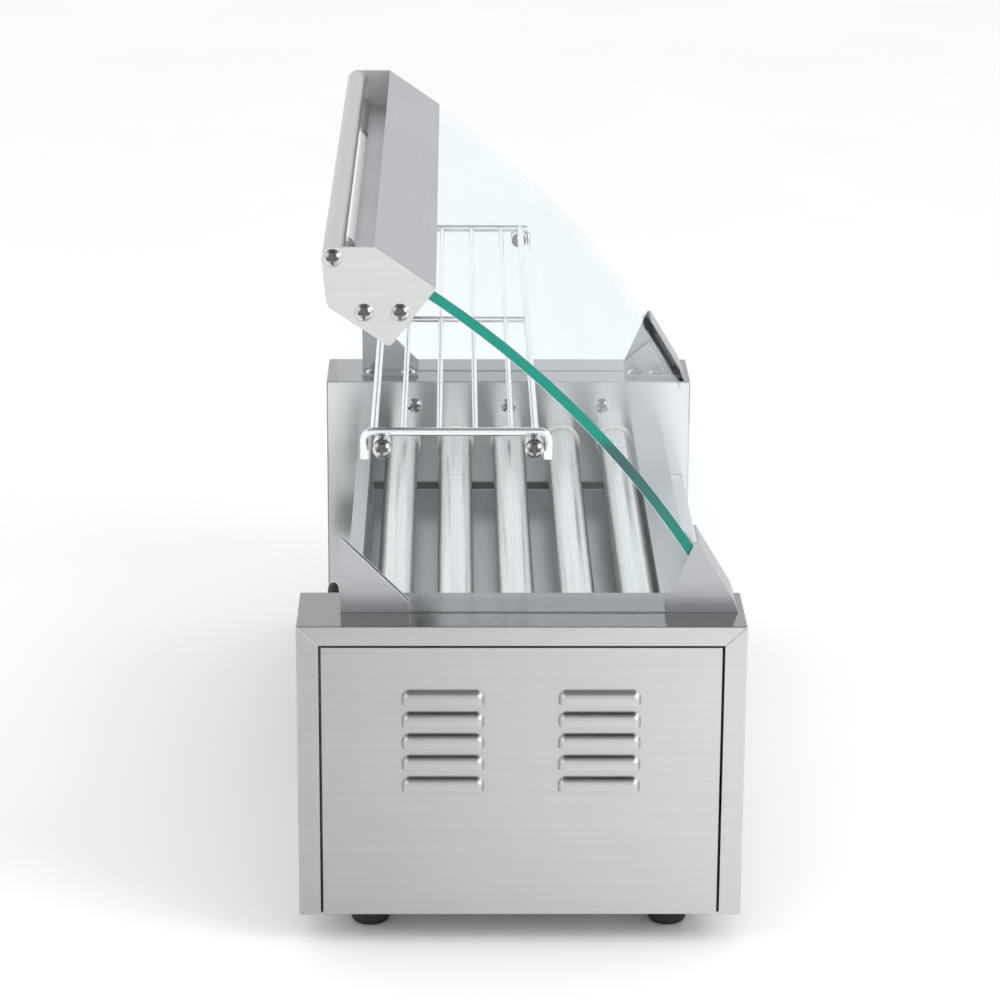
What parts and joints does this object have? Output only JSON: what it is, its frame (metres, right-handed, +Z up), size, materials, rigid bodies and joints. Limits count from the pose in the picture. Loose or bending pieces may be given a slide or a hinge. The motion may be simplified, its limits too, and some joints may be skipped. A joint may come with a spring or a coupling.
{
  "type": "hot dog roller grill",
  "caption": "Countertop grill that turns sausages on heated rollers under a curved glass canopy, with a wire bun rack, a lamp, a drip tray and front controls.",
  "frame": {"origin": "under the middle of the body, on the table plane that the rubber feet stand on", "axes": "+X along the rollers towards the drive end, +Y towards the open serving side, +Z up; the curved glass and the controls face -Y"},
  "size_m": [0.5876, 0.26, 0.4176],
  "materials": {
    "housing_steel": "satin",
    "bright_steel": "polished",
    "plate_steel": "satin",
    "roller_chrome": "polished",
    "screw_steel": "bright zinc",
    "rack_wire": "bright plated wire",
    "tube_steel": "satin",
    "chain_steel": "oiled steel",
    "sprocket_steel": "zinc plated",
    "motor_paint": "satin",
    "shaft_steel": "ground",
    "heater_sheath": "heat darkened steel",
    "bushing_plastic": "white low friction plastic",
    "clear_glass": "clear",
    "lamp_glass": "frosted white",
    "holder_plastic": "pale grey",
    "knob_plastic": "black",
    "switch_plastic": "black",
    "rocker_red": "translucent red",
    "rocker_green": "translucent green",
    "lamp_amber": "translucent amber",
    "black_case": "black",
    "terminal_plastic": "ivory",
    "cord_rubber": "matt",
    "pad_rubber": "matt"
  },
  "bodies": {
    "grill_frame": {"base_pan": "housing_steel", "bun_rack": "rack_wire", "control_panel": "housing_steel", "cord_gland": "black_case", "cord_ties": "switch_plastic", "drive_chain": "chain_steel", "drive_motor": "motor_paint", "foot_screws": "screw_steel", "frame_screws": "screw_steel", "front_glass": "clear_glass", "front_glass_brackets": "plate_steel", "glass_pads": "pad_rubber", "handle_tube": "tube_steel", "heating_rods": "heater_sheath", "hood_cover": "plate_steel", "hood_screws": "screw_steel", "indicator_lamps": "lamp_amber", "lamp_holders": "holder_plastic", "lamp_tube": "lamp_glass", "left_bearing_wall": "bright_steel", "left_end_panel": "housing_steel", "left_hood_plate": "plate_steel", "left_housing_shell": "housing_steel", "left_side_glass": "clear_glass", "power_cord": "cord_rubber", "power_plug": "cord_rubber", "rack_screws": "screw_steel", "rear_glass_brackets": "plate_steel", "rear_panel": "housing_steel", "right_bearing_wall": "bright_steel", "right_end_panel": "housing_steel", "right_hood_plate": "plate_steel", "right_housing_shell": "housing_steel", "right_side_glass": "clear_glass", "rod_supports": "plate_steel", "roller_bushings": "bushing_plastic", "rubber_feet": "pad_rubber", "switch_cases": "switch_plastic", "terminal_block": "terminal_plastic", "thermostats": "black_case", "tray_shelf": "bright_steel"},
    "roller_1": {"roller_1": "roller_chrome", "sprocket_1": "sprocket_steel"},
    "roller_2": {"roller_2": "roller_chrome", "sprocket_2": "sprocket_steel"},
    "roller_3": {"roller_3": "roller_chrome", "sprocket_3": "sprocket_steel"},
    "roller_4": {"roller_4": "roller_chrome", "sprocket_4": "sprocket_steel"},
    "roller_5": {"roller_5": "roller_chrome", "sprocket_5": "sprocket_steel"},
    "drive": {"motor_shaft": "shaft_steel", "drive_sprocket": "sprocket_steel"},
    "front_heat_knob": {"front_heat_knob": "knob_plastic", "front_heat_knob_spindle": "shaft_steel"},
    "rear_heat_knob": {"rear_heat_knob": "knob_plastic", "rear_heat_knob_spindle": "shaft_steel"},
    "power_rocker": {"power_switch_rocker": "rocker_red"},
    "light_rocker": {"light_switch_rocker": "rocker_green"},
    "drip_tray": {"drip_tray": "bright_steel"}
  },
  "joints": [
    {"name": "roller_1_spin", "type": "hinge", "parent": "grill_frame", "child": "roller_1", "pos_m": [0, -0.076, 0.154], "axis": [1, 0, 0], "continuous": true},
    {"name": "roller_2_spin", "type": "hinge", "parent": "grill_frame", "child": "roller_2", "pos_m": [0, -0.038, 0.154], "axis": [1, 0, 0], "continuous": true},
    {"name": "roller_3_spin", "type": "hinge", "parent": "grill_frame", "child": "roller_3", "pos_m": [0, 0, 0.154], "axis": [1, 0, 0], "continuous": true},
    {"name": "roller_4_spin", "type": "hinge", "parent": "grill_frame", "child": "roller_4", "pos_m": [0, 0.038, 0.154], "axis": [1, 0, 0], "continuous": true},
    {"name": "roller_5_spin", "type": "hinge", "parent": "grill_frame", "child": "roller_5", "pos_m": [0, 0.076, 0.154], "axis": [1, 0, 0], "continuous": true},
    {"name": "drive_spin", "type": "hinge", "parent": "grill_frame", "child": "drive", "pos_m": [0.25, 0, 0.062], "axis": [1, 0, 0], "continuous": true},
    {"name": "front_heat_knob_turn", "type": "hinge", "parent": "grill_frame", "child": "front_heat_knob", "pos_m": [-0.14, -0.1108, 0.066], "axis": [0, 1, 0], "range_deg": [0, 270]},
    {"name": "rear_heat_knob_turn", "type": "hinge", "parent": "grill_frame", "child": "rear_heat_knob", "pos_m": [0.14, -0.1108, 0.066], "axis": [0, 1, 0], "range_deg": [0, 270]},
    {"name": "power_rocker_press", "type": "hinge", "parent": "grill_frame", "child": "power_rocker", "pos_m": [-0.034, -0.1075, 0.066], "axis": [-1, 0, 0], "range_deg": [0, 16]},
    {"name": "light_rocker_press", "type": "hinge", "parent": "grill_frame", "child": "light_rocker", "pos_m": [0.034, -0.1075, 0.066], "axis": [-1, 0, 0], "range_deg": [0, 16]},
    {"name": "drip_tray_slide", "type": "slide", "parent": "grill_frame", "child": "drip_tray", "axis": [0, -1, 0], "range_m": [0, 0.2]}
  ],
  "couplings": [
    {"joint": "roller_2_spin", "follows": "roller_1_spin", "ratio": 1},
    {"joint": "roller_3_spin", "follows": "roller_1_spin", "ratio": 1},
    {"joint": "roller_4_spin", "follows": "roller_1_spin", "ratio": 1},
    {"joint": "roller_5_spin", "follows": "roller_1_spin", "ratio": 1},
    {"joint": "drive_spin", "follows": "roller_1_spin", "ratio": 1}
  ]
}
